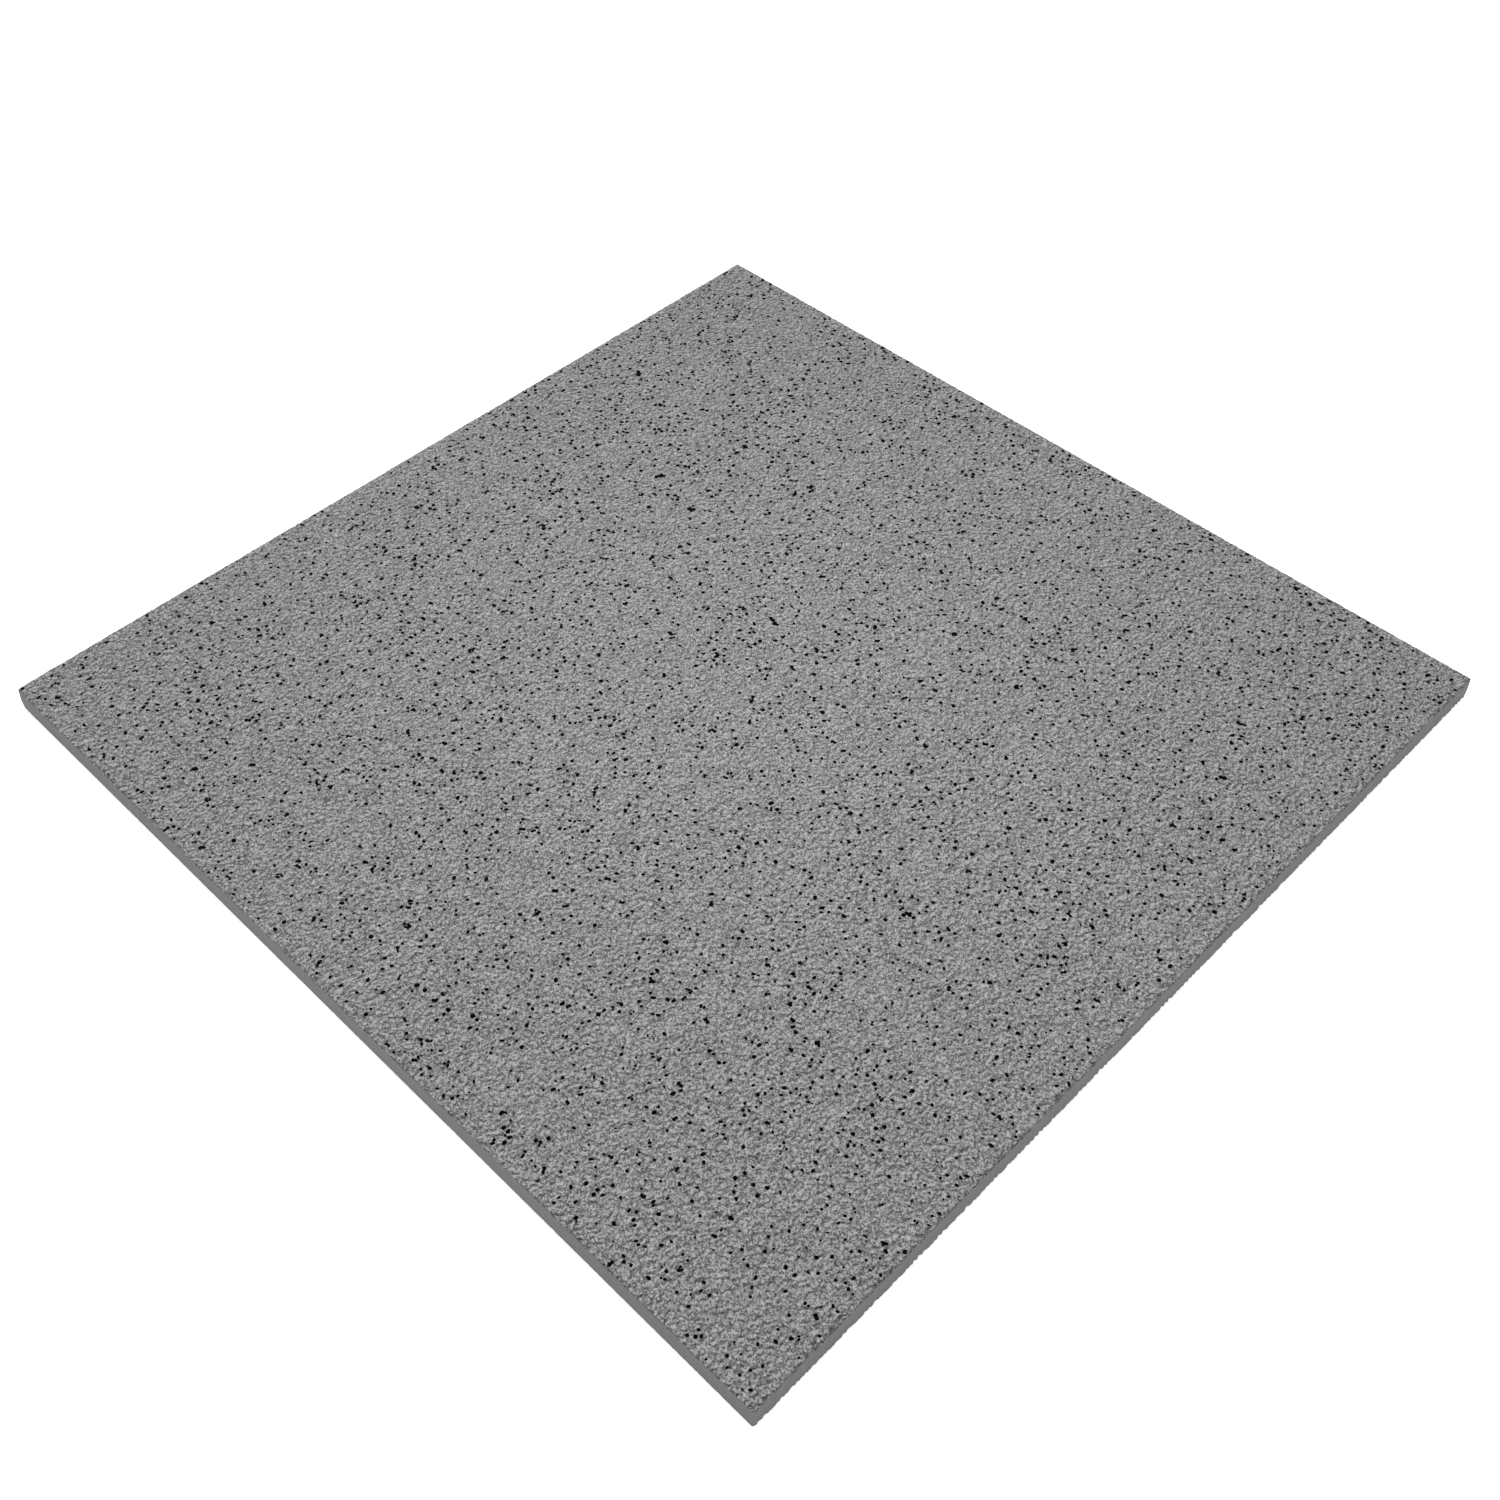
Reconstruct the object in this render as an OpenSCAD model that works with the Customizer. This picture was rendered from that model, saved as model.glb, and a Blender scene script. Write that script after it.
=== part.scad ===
// Square floor tile of dry-pressed, unglazed porcelain stoneware. It is one pressed and
// fired piece: a flat face, drafted edges over a square land, and a back with shallow
// keying pockets that the bedding adhesive fills.
// Frame: +Z up, face up, origin at the middle of the back, on the bedding plane.

/* [Tile] */
// Work size along X, across the lands of the edges: a 300 mm module less its joint
tile_w = 298; // [148:1:448]
// Work size along Y, across the lands of the edges
tile_l = 298; // [148:1:448]
// Thickness from the bedding plane to the face
tile_t = 8; // [6:0.1:12]

/* [Edge] */
// Height of the square land, from the bedding plane up
land_h = 3.5; // [2:0.1:4.5]
// How far the die's draft brings the face in from the land on each side
face_draft = 0.2; // [0.05:0.05:0.8]
// Radius of the worn arris between face and edge
arris_r = 0.5; // [0.2:0.05:1]
// Bevel where the land meets the back
back_bevel = 0.2; // [0.1:0.05:1]
// Radius of the four upright corners
corner_r = 0.8; // [0.3:0.1:3]

/* [Back keying] */
// Width of the plain frame round the pockets
frame_w = 9; // [6:0.5:20]
// Distance from pocket to pocket that the pattern comes closest to
pocket_pitch = 18; // [12:1:30]
// Width of a rib at the bedding plane
rib_w = 3.5; // [2:0.25:5]
// Depth of a pocket
pocket_depth = 0.6; // [0.3:0.05:1.2]
// Run of a pocket's sloping wall, from its mouth to its floor
pocket_draft = 0.5; // [0.2:0.05:1]

/* [Hidden] */

// Sides that a small round is drawn with
round_sides = 32;
// What a cutting or clipping shape runs past the solid it works on
over = 1;

// The tile's cross-section over a given size, its back on the X axis
module section(size) {
    edge = size / 2;
    face_edge = edge - face_draft;
    round_x = face_edge - arris_r;
    round_z = tile_t - arris_r;
    side = [
        [edge - back_bevel, 0],
        [edge, back_bevel],
        [edge, land_h],
        [face_edge, round_z],
        [round_x, tile_t]
    ];
    for (turned = [0, 1])
        mirror([turned, 0]) {
            polygon(concat([[0, 0]], side, [[0, tile_t]]));
            translate([round_x, round_z])
                circle(r = arris_r, $fn = round_sides);
        }
}

// The cross-section over size, drawn out to length along Y
module sectioned_bar(size, length) {
    rotate([90, 0, 0])
        linear_extrude(height = length, center = true)
            section(size);
}

// Upright prism that rounds the four corners
module corner_prism() {
    x = tile_w / 2 - corner_r;
    y = tile_l / 2 - corner_r;
    translate([0, 0, -over])
        linear_extrude(height = tile_t + 2 * over) {
            square([tile_w, 2 * y], center = true);
            square([2 * x, tile_l], center = true);
            for (sx = [-1, 1], sy = [-1, 1])
                translate([sx * x, sy * y])
                    circle(r = corner_r, $fn = round_sides);
        }
}

// The pressed blank, before its back is keyed
module blank() {
    intersection() {
        sectioned_bar(tile_w, tile_l + 2 * over);
        rotate(90)
            sectioned_bar(tile_l, tile_w + 2 * over);
        corner_prism();
    }
}

// Even, so that two ribs cross in the middle of the back
function pocket_count(size) =
    2 * max(1, round((size - 2 * frame_w + rib_w) / pocket_pitch / 2));

// The pitch that fills the space inside the frame with whole pockets
function fitted_pitch(size) = (size - 2 * frame_w + rib_w) / pocket_count(size);

// Sloping-walled channels side by side across size, each drawn out to length along Y.
// They run below the bedding plane with the same slope, so the mouths come out true.
module channels(size, length) {
    count = pocket_count(size);
    pitch = fitted_pitch(size);
    mouth = (pitch - rib_w) / 2;
    flare = over * pocket_draft / pocket_depth;
    rotate([90, 0, 0])
        linear_extrude(height = length, center = true)
            for (i = [0:count - 1])
                translate([(i - (count - 1) / 2) * pitch, 0])
                    polygon([
                        [-mouth - flare, -over],
                        [mouth + flare, -over],
                        [mouth - pocket_draft, pocket_depth],
                        [-mouth + pocket_draft, pocket_depth]
                    ]);
}

// Every pocket of the back: where a channel one way crosses a channel the other way
module pockets() {
    intersection() {
        channels(tile_w, tile_l);
        rotate(90)
            channels(tile_l, tile_w);
    }
}

module tile() {
    color("#8e8e8e")
        difference() {
            blank();
            pockets();
        }
}

tile();
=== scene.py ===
import math
import random

import bmesh
import bpy
from mathutils import Matrix, Vector, noise
from mathutils.bvhtree import BVHTree


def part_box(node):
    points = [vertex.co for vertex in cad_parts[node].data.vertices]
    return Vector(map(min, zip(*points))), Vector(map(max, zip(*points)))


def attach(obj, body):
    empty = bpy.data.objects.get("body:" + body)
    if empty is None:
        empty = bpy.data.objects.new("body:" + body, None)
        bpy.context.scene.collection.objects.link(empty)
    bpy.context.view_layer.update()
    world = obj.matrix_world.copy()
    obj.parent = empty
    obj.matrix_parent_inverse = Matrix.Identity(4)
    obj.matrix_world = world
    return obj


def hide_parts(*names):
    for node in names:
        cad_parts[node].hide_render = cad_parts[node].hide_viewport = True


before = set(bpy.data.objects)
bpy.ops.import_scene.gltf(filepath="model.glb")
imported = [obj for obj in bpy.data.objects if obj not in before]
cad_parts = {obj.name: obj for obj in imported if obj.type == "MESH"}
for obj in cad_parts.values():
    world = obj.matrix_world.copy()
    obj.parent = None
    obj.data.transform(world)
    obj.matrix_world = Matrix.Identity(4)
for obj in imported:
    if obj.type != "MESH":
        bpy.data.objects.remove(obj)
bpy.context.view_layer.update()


def mm(length):
    """Millimetres in the scene's metres."""
    return length / 1000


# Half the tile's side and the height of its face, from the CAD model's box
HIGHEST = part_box("tile")[1]
HALF = HIGHEST.x
FACE_Z = HIGHEST.z

# Its edge as the CAD model has it: the square land at the widest part, the draft and the worn
# arris over it, the bevel at the back, and the round of the four corners
LAND_TOP = mm(3.5)
FACE_DRAFT = mm(0.2)
ARRIS_R = mm(0.5)
BACK_BEVEL = mm(0.2)
CORNER_R = mm(0.8)
# Half the side of the core square, on whose corners the rounds are centred and from which the
# whole edge is measured, and how far out from it the flat of the face ends
CORE = HALF - CORNER_R
FACE_EDGE = CORNER_R - FACE_DRAFT - ARRIS_R

# Mesh fineness of the face, in squares a side, and of the arris and a corner's round
FACE_SQUARES = 270
ARRIS_STEPS = 3
CORNER_STEPS = 4
# Cuts in each edge of the face's rim, for the ragged arris, and again for the scalloped foot
ARRIS_CUTS = 1
FOOT_CUTS = 1

# Swell of the pressed grain, wide enough for the mesh to hold, and how far the face is sunk
# so that neither it nor a granule stands over the flat face of the CAD model
SWELL_WIDTH = mm(2.4)
SWELL_HEIGHT = mm(0.12)
FACE_SINK = mm(0.19)
# The grain too fine for the mesh: its tones, and its relief, which is drawn coarser and
# deeper than the real one so that it shows in the render
GRAIN_WIDTH = mm(0.34)
GRAIN_DARK = "#606060"
GRAIN_LIGHT = "#AFAFAF"
RELIEF_WIDTH = mm(1.1)
RELIEF_HEIGHT = mm(1.4)
# Roughness in its hollows and on its tops
FACE_ROUGHNESS = (0.88, 0.72)
# Soft clouds where the powder lay denser in the die
CLOUD_WIDTH = mm(12)
CLOUD_DETAIL = 2
CLOUD_TONES = (0.97, 1.03)
# Sheen of the clay, whose open pores take half of what a closed surface would show
OPEN_GRAIN_SHEEN = 0.25
# The smooth edges: their grain, and the scores that the die left in them
EDGE_GRAIN_WIDTH = mm(0.5)
EDGE_TONES = ("#979797", "#9D9D9D")
EDGE_ROUGHNESS = (0.8, 0.9)
EDGE_SCORE_WIDTH = mm(0.7)
EDGE_SCORE_HEIGHT = mm(0.1)
# The back: its clay and relief, and the kiln wash that thins out up the pockets' walls
BACK_TONES = ("#858381", "#9A9894")
BACK_RELIEF_HEIGHT = mm(0.4)
BACK_ROUGHNESS = 0.9
WASH_TONE = "#C8C4BA"
WASH_WIDTH = mm(5)
WASH_DETAIL = 4
WASH_COVER = (0.1, 0.95)
WASH_TOP = mm(0.3)
# Ragged line where the grain breaks over the arris: the width of a bite and its depth
ARRIS_NICK_WIDTH = mm(1.6)
ARRIS_NICK = mm(0.16)
# Scallops along the foot of the edges, which only the right-hand one has plainly
FOOT_NICK_WIDTH = mm(1.7)
FOOT_NICK_RIGHT = mm(0.35)
FOOT_NICK_OTHERS = mm(0.06)
# An outward direction has more than this along X on the right-hand edge and half its corners
FACES_RIGHT = 0.7

# Black granules: how many, their widths, how far they stay from the rim and from each other,
# the share that lies close beside another, how uneven they are, and how they are made
GRANULES = 6600
GRANULE_MEAN = mm(1.10)
GRANULE_SPREAD = mm(0.24)
GRANULE_LEAST = mm(0.17)
GRANULE_MOST = mm(1.6)
GRANULE_MARGIN = mm(0.5)
GRANULE_GAP = mm(1.25)
GRANULE_PAIRS = 0.12
GRANULE_PAIR_STEP = (mm(0.5), mm(1.0))
GRANULE_STRETCH = 1.25
GRANULE_UNEVEN = 0.16
GRANULE_DOME = mm(0.06)
GRANULE_TONES = ("#010101", "#060606")
GRANULE_ROUGHNESS = 0.8
GRANULE_SHEEN = 0.02
GRANULE_SEED = 11
GRANULE_BATCH = 75
# How much coarser they are at the corner away from the camera than on average, as the
# photograph shows them, and how much finer at the one towards it
GRANULE_DRIFT = 0.12

# Nearly all of a pattern's values lie in this span
USUAL_SPAN = (0.3, 0.7)
# The numbers of a colour Mix node's sockets: its share, its two colours and its result
MIX_SHARE, MIX_FROM, MIX_TO, MIX_RESULT = 0, 6, 7, 2
# Rows of the noise, one for each ragged line, so that they differ
ARRIS_ROW = 3
FOOT_ROW = 7
# The parts of the mesh, by material
FACE, EDGE, BACK = range(3)
# What tells the pockets from the rest of the CAD mesh: they lie further in from the edges than
# the first, higher than the second and lower than the third. Its corners merge within the last
POCKETS_IN = mm(3)
BEDDING_PLANE_TOP = mm(0.01)
POCKETS_BELOW = mm(1.5)
MERGE_WITHIN = mm(0.001)

# The photograph's camera: its lens, its turn about the tile, and where it stands
SENSOR = 36
LENS = 42.36
CAMERA_SHIFT = 0.0167
CAMERA_TURN = 45.247
CAMERA_DROP = 49.248
CAMERA_ROLL = -0.589
CAMERA_RIGHT = mm(-5.379)
CAMERA_UP = mm(-14.11)
CAMERA_AWAY = mm(516.109)

# Light and floor: each lamp's direction in degrees, distance and size in metres, and power
SKY_LIGHT = 0.265
KEY_TURN = -107
KEY_HEIGHT = 42
KEY_AWAY = 10.0
KEY_SIZE = 3.3
KEY_POWER = 742
TOP_HEIGHT = 90
TOP_AWAY = 1.5
TOP_SIZE = 0.1
TOP_SPREAD = 28
TOP_POWER = 0.19
FILL_TURN = 90
FILL_HEIGHT = 12
FILL_AWAY = 1.2
FILL_SIZE = 0.4
FILL_POWER = 0.75
FLOOR_SIZE = 40
FLOOR_TONE = "#F2F2F2"
FLOOR_GLOW = 0.8

# The side of the bake's map is 1: how much of it the face and the back take, and the gaps
FACE_ON_MAP = 0.8
BACK_ON_MAP = 0.185
MAP_GAP = 0.004


def linear(hex_colour):
    """An sRGB hex colour as linear RGBA."""
    parts = [int(hex_colour[i:i + 2], 16) / 255 for i in (1, 3, 5)]
    return [c / 12.92 if c <= 0.04045 else ((c + 0.055) / 1.055) ** 2.4 for c in parts] + [1]


def new_material(name):
    """A material and the tree of its nodes, with the shader and output in place."""
    material = bpy.data.materials.new(name)
    material.use_nodes = True
    tree = material.node_tree
    return material, tree, tree.nodes["Principled BSDF"]


def fit(tree, node, settings=None, links=None):
    """Sets a node's inputs or properties, and links its inputs.

    An input goes by its name, or by its number where others have the same name.
    """
    for name, value in (settings or {}).items():
        if isinstance(name, int) or name in node.inputs:
            node.inputs[name].default_value = value
        else:
            setattr(node, name, value)
    for name, source in (links or {}).items():
        tree.links.new(source, node.inputs[name])
    return node


def add(tree, kind, settings=None, links=None):
    """A new node of a kind, with its settings and links."""
    return fit(tree, tree.nodes.new("ShaderNode" + kind), settings, links)


def wide(width, detail=0):
    """The settings of a pattern whose grains or blotches have a width."""
    return {"Scale": 1 / width, "Detail": detail}


def between(low, high):
    """The settings that turn a pattern into a value between two others."""
    return {
        "From Min": USUAL_SPAN[0], "From Max": USUAL_SPAN[1], "To Min": low, "To Max": high,
    }


def clay_tone(tree, pattern, dark, light):
    """The colour of a clay that runs from dark to light as a pattern does."""
    share = add(tree, "MapRange", between(0, 1), {"Value": pattern})
    tone = add(
        tree, "Mix", {"data_type": "RGBA", MIX_FROM: linear(dark), MIX_TO: linear(light)},
        {MIX_SHARE: share.outputs["Result"]},
    )
    return tone.outputs[MIX_RESULT]


def grained_stoneware():
    # Unglazed porcelain stoneware as the textured punch leaves it. Grains of pale and dark clay
    # fused side by side give the eye a fine pepper of greys. Clouds keep a wide face from
    # looking printed, and the tops of the relief are rubbed a little smoother than its hollows.
    material, tree, shader = new_material("pressed_stoneware_face")
    place = add(tree, "TexCoord").outputs["Object"]
    grains = add(tree, "TexVoronoi", wide(GRAIN_WIDTH), {"Vector": place})
    pepper = clay_tone(tree, grains.outputs["Color"], GRAIN_DARK, GRAIN_LIGHT)
    clouds = add(tree, "TexNoise", wide(CLOUD_WIDTH, CLOUD_DETAIL), {"Vector": place})
    density = add(tree, "MapRange", between(*CLOUD_TONES), {"Value": clouds.outputs["Fac"]})
    clouded = add(
        tree, "VectorMath", {"operation": "SCALE"},
        {"Vector": pepper, "Scale": density.outputs["Result"]},
    )
    # Taken half a metre aside in the noise, where it has nothing to do with the clouds
    aside = add(tree, "Mapping", {"Location": (0, 0, 0.5)}, {"Vector": place})
    relief = add(
        tree, "TexNoise", wide(RELIEF_WIDTH), {"Vector": aside.outputs["Vector"]},
    ).outputs["Fac"]
    raised = add(tree, "Bump", {"Distance": RELIEF_HEIGHT}, {"Height": relief})
    rubbed = add(tree, "MapRange", between(*FACE_ROUGHNESS), {"Value": relief})
    fit(tree, shader, {"Specular IOR Level": OPEN_GRAIN_SHEEN}, {
        "Base Color": clouded.outputs["Vector"],
        "Roughness": rubbed.outputs["Result"],
        "Normal": raised.outputs["Normal"],
    })
    return material


def plain_edge():
    # The same clay, left smooth and even by the die's steel wall, gives the eye a flat grey
    # with a trace of fine grain, and faint upright scores where the tile was pushed out.
    material, tree, shader = new_material("pressed_stoneware_edge")
    place = add(tree, "TexCoord").outputs["Object"]
    grain = add(tree, "TexNoise", wide(EDGE_GRAIN_WIDTH), {"Vector": place}).outputs["Fac"]
    rubbed = add(tree, "MapRange", between(*EDGE_ROUGHNESS), {"Value": grain})
    # Heights taken at a tenth draw the blotches out into upright scores
    upright = add(tree, "Mapping", {"Scale": (1, 1, 0.1)}, {"Vector": place})
    scores = add(
        tree, "TexNoise", wide(EDGE_SCORE_WIDTH), {"Vector": upright.outputs["Vector"]},
    )
    scored = add(
        tree, "Bump", {"Distance": EDGE_SCORE_HEIGHT}, {"Height": scores.outputs["Fac"]},
    )
    fit(tree, shader, {"Specular IOR Level": OPEN_GRAIN_SHEEN}, {
        "Base Color": clay_tone(tree, grain, *EDGE_TONES),
        "Roughness": rubbed.outputs["Result"],
        "Normal": scored.outputs["Normal"],
    })
    return material


def keyed_back():
    # Chalky kiln wash, rolled on the ribs to keep the tile from sticking in the kiln, leaves
    # them patchy and pale, with the grey clay bare in the pockets.
    material, tree, shader = new_material("stoneware_back_with_kiln_wash")
    place = add(tree, "TexCoord").outputs["Object"]
    grain = add(tree, "TexNoise", wide(GRAIN_WIDTH), {"Vector": place})
    clay = clay_tone(tree, grain.outputs["Fac"], *BACK_TONES)
    height = add(tree, "SeparateXYZ", links={"Vector": place})
    on_ribs = add(
        tree, "MapRange", {"From Min": WASH_TOP, "From Max": 0}, {"Value": height.outputs["Z"]},
    )
    patches = add(tree, "TexNoise", wide(WASH_WIDTH, WASH_DETAIL), {"Vector": place})
    patchy = add(tree, "MapRange", between(*WASH_COVER), {"Value": patches.outputs["Fac"]})
    cover = add(
        tree, "Math", {"operation": "MULTIPLY"},
        {0: on_ribs.outputs["Result"], 1: patchy.outputs["Result"]},
    )
    washed = add(
        tree, "Mix", {"data_type": "RGBA", MIX_TO: linear(WASH_TONE)},
        {MIX_SHARE: cover.outputs["Value"], MIX_FROM: clay},
    )
    relief = add(tree, "TexNoise", wide(RELIEF_WIDTH), {"Vector": place})
    raised = add(
        tree, "Bump", {"Distance": BACK_RELIEF_HEIGHT}, {"Height": relief.outputs["Fac"]},
    )
    fit(
        tree, shader,
        {"Roughness": BACK_ROUGHNESS, "Specular IOR Level": OPEN_GRAIN_SHEEN},
        {"Base Color": washed.outputs[MIX_RESULT], "Normal": raised.outputs["Normal"]},
    )
    return material


def sintered_black_clay():
    # Granules of iron-black clay, sintered matt, take nearly all light, some a shade less.
    material, tree, shader = new_material("sintered_black_clay")
    place = add(tree, "TexCoord").outputs["Object"]
    shades = add(tree, "TexNoise", wide(GRANULE_MEAN), {"Vector": place})
    fit(
        tree, shader,
        {"Roughness": GRANULE_ROUGHNESS, "Specular IOR Level": GRANULE_SHEEN},
        {"Base Color": clay_tone(tree, shades.outputs["Fac"], *GRANULE_TONES)},
    )
    return material


def core_point(point):
    """The nearest point of the core square, level with a point."""
    return Vector((
        max(-CORE, min(CORE, point.x)),
        max(-CORE, min(CORE, point.y)),
        point.z,
    ))


def swell(point):
    """Height of the pressed grain's swell at a point: three layers, each half the last one."""
    spot = Vector((point.x, point.y, 0)) / SWELL_WIDTH
    return SWELL_HEIGHT * noise.fractal(spot, 1.0, 2.0, 3)


def nick(point, width, row):
    """The share of its depth that a ragged line is eaten away at a point, 0 to about 1."""
    spot = Vector((point.x, point.y, 0)) / width + Vector((0, 0, row))
    return abs(noise.noise(spot)) * 2


def arris_points():
    """(distance out from the core square, height) round the arris, from face to draft."""
    top = FACE_Z - FACE_SINK
    for step in range(1, ARRIS_STEPS + 1):
        turn = math.radians(90 * step / ARRIS_STEPS)
        yield (
            FACE_EDGE + ARRIS_R * math.sin(turn),
            top - ARRIS_R + ARRIS_R * math.cos(turn),
        )


def open_rim(bm):
    """The open rim that the edge is carried on from, and not the pockets' mouths."""
    return [e for e in bm.edges if e.is_boundary and e.verts[0].co.z > POCKETS_BELOW]


def finer_rim(bm, cuts):
    """The open rim with its edges cut, so that it holds a finer line."""
    bmesh.ops.subdivide_edges(bm, edges=open_rim(bm), cuts=cuts)
    return open_rim(bm)


def draw_out(bm, rim, out, height, shape=None):
    """Carries an open rim on to a distance out from the core square and a height.

    A shape says how far in of that each point stays, and how far it is lifted.
    """
    grown = bmesh.ops.extrude_edge_only(bm, edges=rim)["geom"]
    rim = [e for e in grown if isinstance(e, bmesh.types.BMEdge) and e.is_boundary]
    for v in {v for edge in rim for v in edge.verts}:
        core = core_point(v.co)
        direction = (v.co - core).normalized()
        inward, lift = shape(core, direction) if shape else (0, 0)
        v.co = core + direction * (out - inward)
        v.co.z = height + lift
    faces = [f for f in grown if isinstance(f, bmesh.types.BMFace)]
    return rim, faces


def ragged_arris(core, direction):
    """The arris bitten back, and worn down by half as much."""
    bite = ARRIS_NICK * nick(core, ARRIS_NICK_WIDTH, ARRIS_ROW)
    return bite, -bite / 2


def scalloped_foot(core, direction):
    """The foot bitten back, deepest where it faces right."""
    depth = FOOT_NICK_RIGHT if direction.x > FACES_RIGHT else FOOT_NICK_OTHERS
    return depth * nick(core, FOOT_NICK_WIDTH, FOOT_ROW), 0


def keying_pockets():
    """The CAD back's pockets alone, merged, with their mouths open."""
    bm = bmesh.new()
    bm.from_mesh(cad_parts["tile"].data)
    bmesh.ops.remove_doubles(bm, verts=bm.verts, dist=MERGE_WITHIN)
    others = []
    for face in bm.faces:
        middle = face.calc_center_median()
        inside = max(abs(middle.x), abs(middle.y)) < HALF - POCKETS_IN
        if not (inside and BEDDING_PLANE_TOP < middle.z < POCKETS_BELOW):
            others.append(face)
    bmesh.ops.delete(bm, geom=others, context="FACES")
    for face in bm.faces:
        face.material_index = BACK
    return bm


def tile_mesh():
    """The tile as one closed bmesh: grained face, edges and keyed back."""
    bm = keying_pockets()
    grid = bmesh.ops.create_grid(
        bm, x_segments=FACE_SQUARES, y_segments=FACE_SQUARES, size=CORE + FACE_EDGE,
        matrix=Matrix.Translation((0, 0, FACE_Z)),
    )["verts"]
    bmesh.ops.bevel(
        bm, geom=[v for v in grid if len(v.link_edges) == 2], offset=FACE_EDGE,
        affect="VERTICES", segments=CORNER_STEPS, profile=0.5, material=-1,
    )
    rim = finer_rim(bm, ARRIS_CUTS)
    for v in bm.verts:
        if v.co.z > LAND_TOP:
            v.co.z += swell(v.co) - FACE_SINK
    for out, height in arris_points():
        rim, _ = draw_out(bm, rim, out, height, ragged_arris)
    _, draft = draw_out(bm, rim, CORNER_R, LAND_TOP)
    rim = finer_rim(bm, FOOT_CUTS)
    rim, land = draw_out(bm, rim, CORNER_R, BACK_BEVEL, scalloped_foot)
    rim, bevel = draw_out(bm, rim, CORNER_R - BACK_BEVEL, 0, scalloped_foot)
    for face in draft + land + bevel:
        face.material_index = EDGE
    filled = bmesh.ops.triangle_fill(
        bm, edges=[e for e in bm.edges if e.is_boundary], use_beauty=True,
        use_dissolve=False, normal=(0, 0, -1),
    )["geom"]
    for face in filled:
        if isinstance(face, bmesh.types.BMFace):
            face.material_index = BACK
    bmesh.ops.recalc_face_normals(bm, faces=bm.faces)
    for face in bm.faces:
        face.smooth = face.material_index == FACE
    return bm


def place_on_map(face, co):
    """Where a point of a face lies on the bake's map, so that the grained face gets the most."""
    across = (co.x + HALF) / (2 * HALF)
    along = (co.y + HALF) / (2 * HALF)
    if face.material_index == FACE:
        return MAP_GAP + across * FACE_ON_MAP, MAP_GAP + along * FACE_ON_MAP
    if face.material_index == BACK:
        corner = 1 - MAP_GAP - BACK_ON_MAP
        return corner + across * BACK_ON_MAP, corner + along * BACK_ON_MAP
    normal = face.normal
    strip = [normal.x, normal.y, -normal.x, -normal.y]
    side = strip.index(max(strip))
    run = along if side % 2 == 0 else across
    scale = FACE_ON_MAP / (2 * HALF)
    left = 2 * MAP_GAP + FACE_ON_MAP + side * (FACE_Z * scale + MAP_GAP)
    return left + co.z * scale, MAP_GAP + run * FACE_ON_MAP


def lay_out_map(bm):
    """The map that the materials are baked on."""
    layer = bm.loops.layers.uv.new("OFBake")
    for face in bm.faces:
        for loop in face.loops:
            loop[layer].uv = place_on_map(face, loop.vert.co)


def finished_piece(bm, name, materials):
    """An object made of a bmesh, riding on the tile's one body."""
    mesh = bpy.data.meshes.new(name)
    bm.to_mesh(mesh)
    piece = bpy.data.objects.new(name, mesh)
    bpy.context.scene.collection.objects.link(piece)
    for material in materials:
        mesh.materials.append(material)
    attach(piece, "root")
    return piece


def granule_places(draws):
    """Centres of the granules over the face: spread apart, with some side by side."""
    reach = CORE + FACE_EDGE - GRANULE_MARGIN
    taken = {}
    places = []
    while len(places) < GRANULES:
        beside = places and draws.random() < GRANULE_PAIRS
        if beside:
            near = draws.choice(places)
            turn = draws.uniform(0, math.tau)
            step = draws.uniform(*GRANULE_PAIR_STEP)
            x = near[0] + step * math.cos(turn)
            y = near[1] + step * math.sin(turn)
        else:
            x = draws.uniform(-reach, reach)
            y = draws.uniform(-reach, reach)
        if max(abs(x), abs(y)) > reach:
            continue
        home = (math.floor(x / GRANULE_GAP), math.floor(y / GRANULE_GAP))
        if not beside:
            around = [
                other
                for i in (-1, 0, 1) for j in (-1, 0, 1)
                for other in taken.get((home[0] + i, home[1] + j), [])
            ]
            if any(math.dist((x, y), other) < GRANULE_GAP for other in around):
                continue
        taken.setdefault(home, []).append((x, y))
        places.append((x, y))
    return places


def add_granule(bm, surface, x, y, draws):
    """A lens-shaped granule sunk in the surface at (x, y), with an uneven outline."""
    spot, normal, _, _ = surface.ray_cast(Vector((x, y, 2 * FACE_Z)), Vector((0, 0, -1)))
    coarser = 1 + GRANULE_DRIFT * (y - x) / (2 * HALF)
    width = draws.gauss(GRANULE_MEAN, GRANULE_SPREAD) * coarser
    width = max(GRANULE_LEAST, min(GRANULE_MOST, width))
    stretch = draws.uniform(1, GRANULE_STRETCH)
    lay = Vector((0, 0, 1)).rotation_difference(normal).to_matrix().to_4x4()
    turn = Matrix.Rotation(draws.uniform(0, math.tau), 4, "Z")
    half = width / 2
    size = Matrix.Diagonal((half * stretch, half / stretch, GRANULE_DOME, 1))
    verts = bmesh.ops.create_icosphere(bm, subdivisions=1, radius=1)["verts"]
    for v in verts:
        v.co *= 1 + draws.uniform(-GRANULE_UNEVEN, GRANULE_UNEVEN)
    bmesh.ops.transform(
        bm, matrix=Matrix.Translation(spot) @ lay @ turn @ size, verts=verts,
    )


def granules(surface):
    """Every granule in one mesh, made a batch at a time, which keeps the operators quick."""
    draws = random.Random(GRANULE_SEED)
    places = granule_places(draws)
    whole = bmesh.new()
    carrier = bpy.data.meshes.new("batch")
    for start in range(0, len(places), GRANULE_BATCH):
        batch = bmesh.new()
        for x, y in places[start:start + GRANULE_BATCH]:
            add_granule(batch, surface, x, y, draws)
        batch.to_mesh(carrier)
        batch.free()
        whole.from_mesh(carrier)
    bpy.data.meshes.remove(carrier)
    return whole


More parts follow.
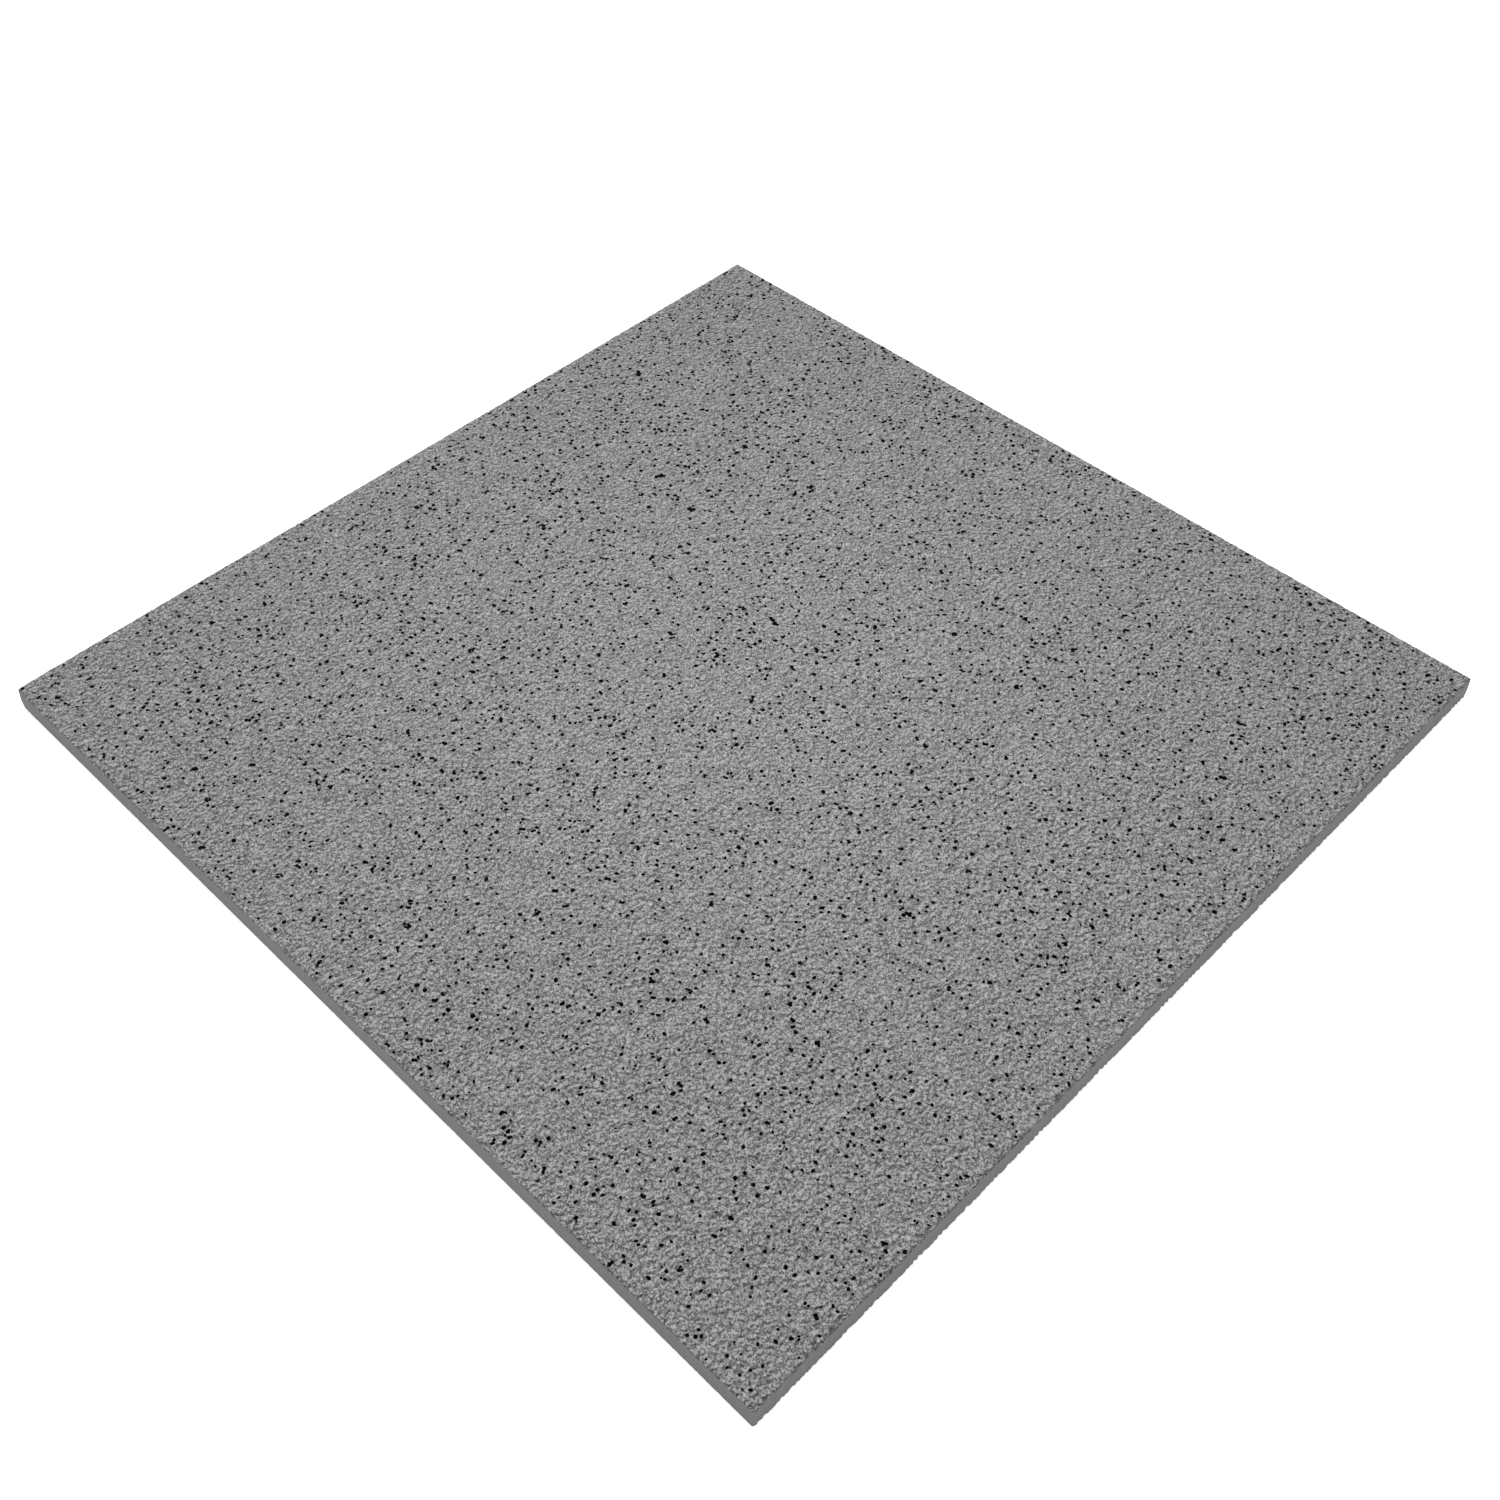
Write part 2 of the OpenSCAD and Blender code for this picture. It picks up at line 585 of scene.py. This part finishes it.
def photo_camera():
    """The photograph's view: from above the near right-hand corner."""
    camera = bpy.data.objects.new("camera", bpy.data.cameras.new("camera"))
    bpy.context.scene.collection.objects.link(camera)
    camera.data.sensor_width = SENSOR
    camera.data.lens = LENS
    camera.data.shift_x = CAMERA_SHIFT
    camera.matrix_world = (
        Matrix.Rotation(math.radians(CAMERA_TURN), 4, "Z")
        @ Matrix.Rotation(math.radians(90 - CAMERA_DROP), 4, "X")
        @ Matrix.Rotation(math.radians(CAMERA_ROLL), 4, "Z")
        @ Matrix.Translation((CAMERA_RIGHT, CAMERA_UP, CAMERA_AWAY))
    )
    bpy.context.scene.camera = camera


def lamp(name, turn, height, distance, size, power, spread=180):
    """A square soft box that faces the middle of the tile, out of the camera's sight."""
    data = bpy.data.lights.new(name, "AREA")
    data.size = size
    data.spread = math.radians(spread)
    data.energy = power
    light = bpy.data.objects.new(name, data)
    light.visible_camera = False
    bpy.context.scene.collection.objects.link(light)
    light.matrix_world = (
        Matrix.Rotation(math.radians(turn), 4, "Z")
        @ Matrix.Rotation(math.radians(90 - height), 4, "X")
        @ Matrix.Translation((0, 0, distance))
    )


def white_to(tree):
    """1 on the rays that show the white background, 0 on those that light the tile."""
    ray = add(tree, "LightPath").outputs
    mirrored = add(
        tree, "Math", {"operation": "MAXIMUM"},
        {0: ray["Is Glossy Ray"], 1: ray["Is Transmission Ray"]},
    )
    seen = add(
        tree, "Math", {"operation": "MAXIMUM"},
        {0: ray["Is Camera Ray"], 1: mirrored.outputs["Value"]},
    )
    return seen.outputs["Value"]


def white_world():
    world = bpy.data.worlds.new("studio")
    bpy.context.scene.world = world
    world.use_nodes = True
    tree = world.node_tree
    strength = add(
        tree, "MapRange", {"To Min": SKY_LIGHT, "To Max": 1}, {"Value": white_to(tree)},
    )
    fit(
        tree, tree.nodes["Background"], {"Color": (1, 1, 1, 1)},
        {"Strength": strength.outputs["Result"]},
    )


def pale_floor():
    """A matt floor, lifted to white where it is seen, but for the tile's shadow on it."""
    bm = bmesh.new()
    bmesh.ops.create_grid(bm, x_segments=1, y_segments=1, size=FLOOR_SIZE / 2)
    mesh = bpy.data.meshes.new("floor")
    bm.to_mesh(mesh)
    bm.free()
    floor = bpy.data.objects.new("floor", mesh)
    bpy.context.scene.collection.objects.link(floor)
    material, tree, shader = new_material("pale_floor")
    glow = add(
        tree, "Math", {"operation": "MULTIPLY", 1: FLOOR_GLOW}, {0: white_to(tree)},
    )
    fit(tree, shader, {
        "Base Color": linear(FLOOR_TONE),
        "Roughness": 1,
        "Specular IOR Level": 0,
        "Emission Color": (1, 1, 1, 1),
    }, {"Emission Strength": glow.outputs["Value"]})
    mesh.materials.append(material)


def studio():
    bpy.context.scene.view_settings.view_transform = "Standard"
    white_world()
    pale_floor()
    lamp("key", KEY_TURN, KEY_HEIGHT, KEY_AWAY, KEY_SIZE, KEY_POWER)
    lamp("top", 0, TOP_HEIGHT, TOP_AWAY, TOP_SIZE, TOP_POWER, TOP_SPREAD)
    lamp("fill", FILL_TURN, FILL_HEIGHT, FILL_AWAY, FILL_SIZE, FILL_POWER)


body = tile_mesh()
lay_out_map(body)
surface = BVHTree.FromBMesh(body)
tile = finished_piece(
    body, "pressed_tile", [grained_stoneware(), plain_edge(), keyed_back()],
)
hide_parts("tile")
finished_piece(granules(surface), "black_granules", [sintered_black_clay()])

photo_camera()
studio()
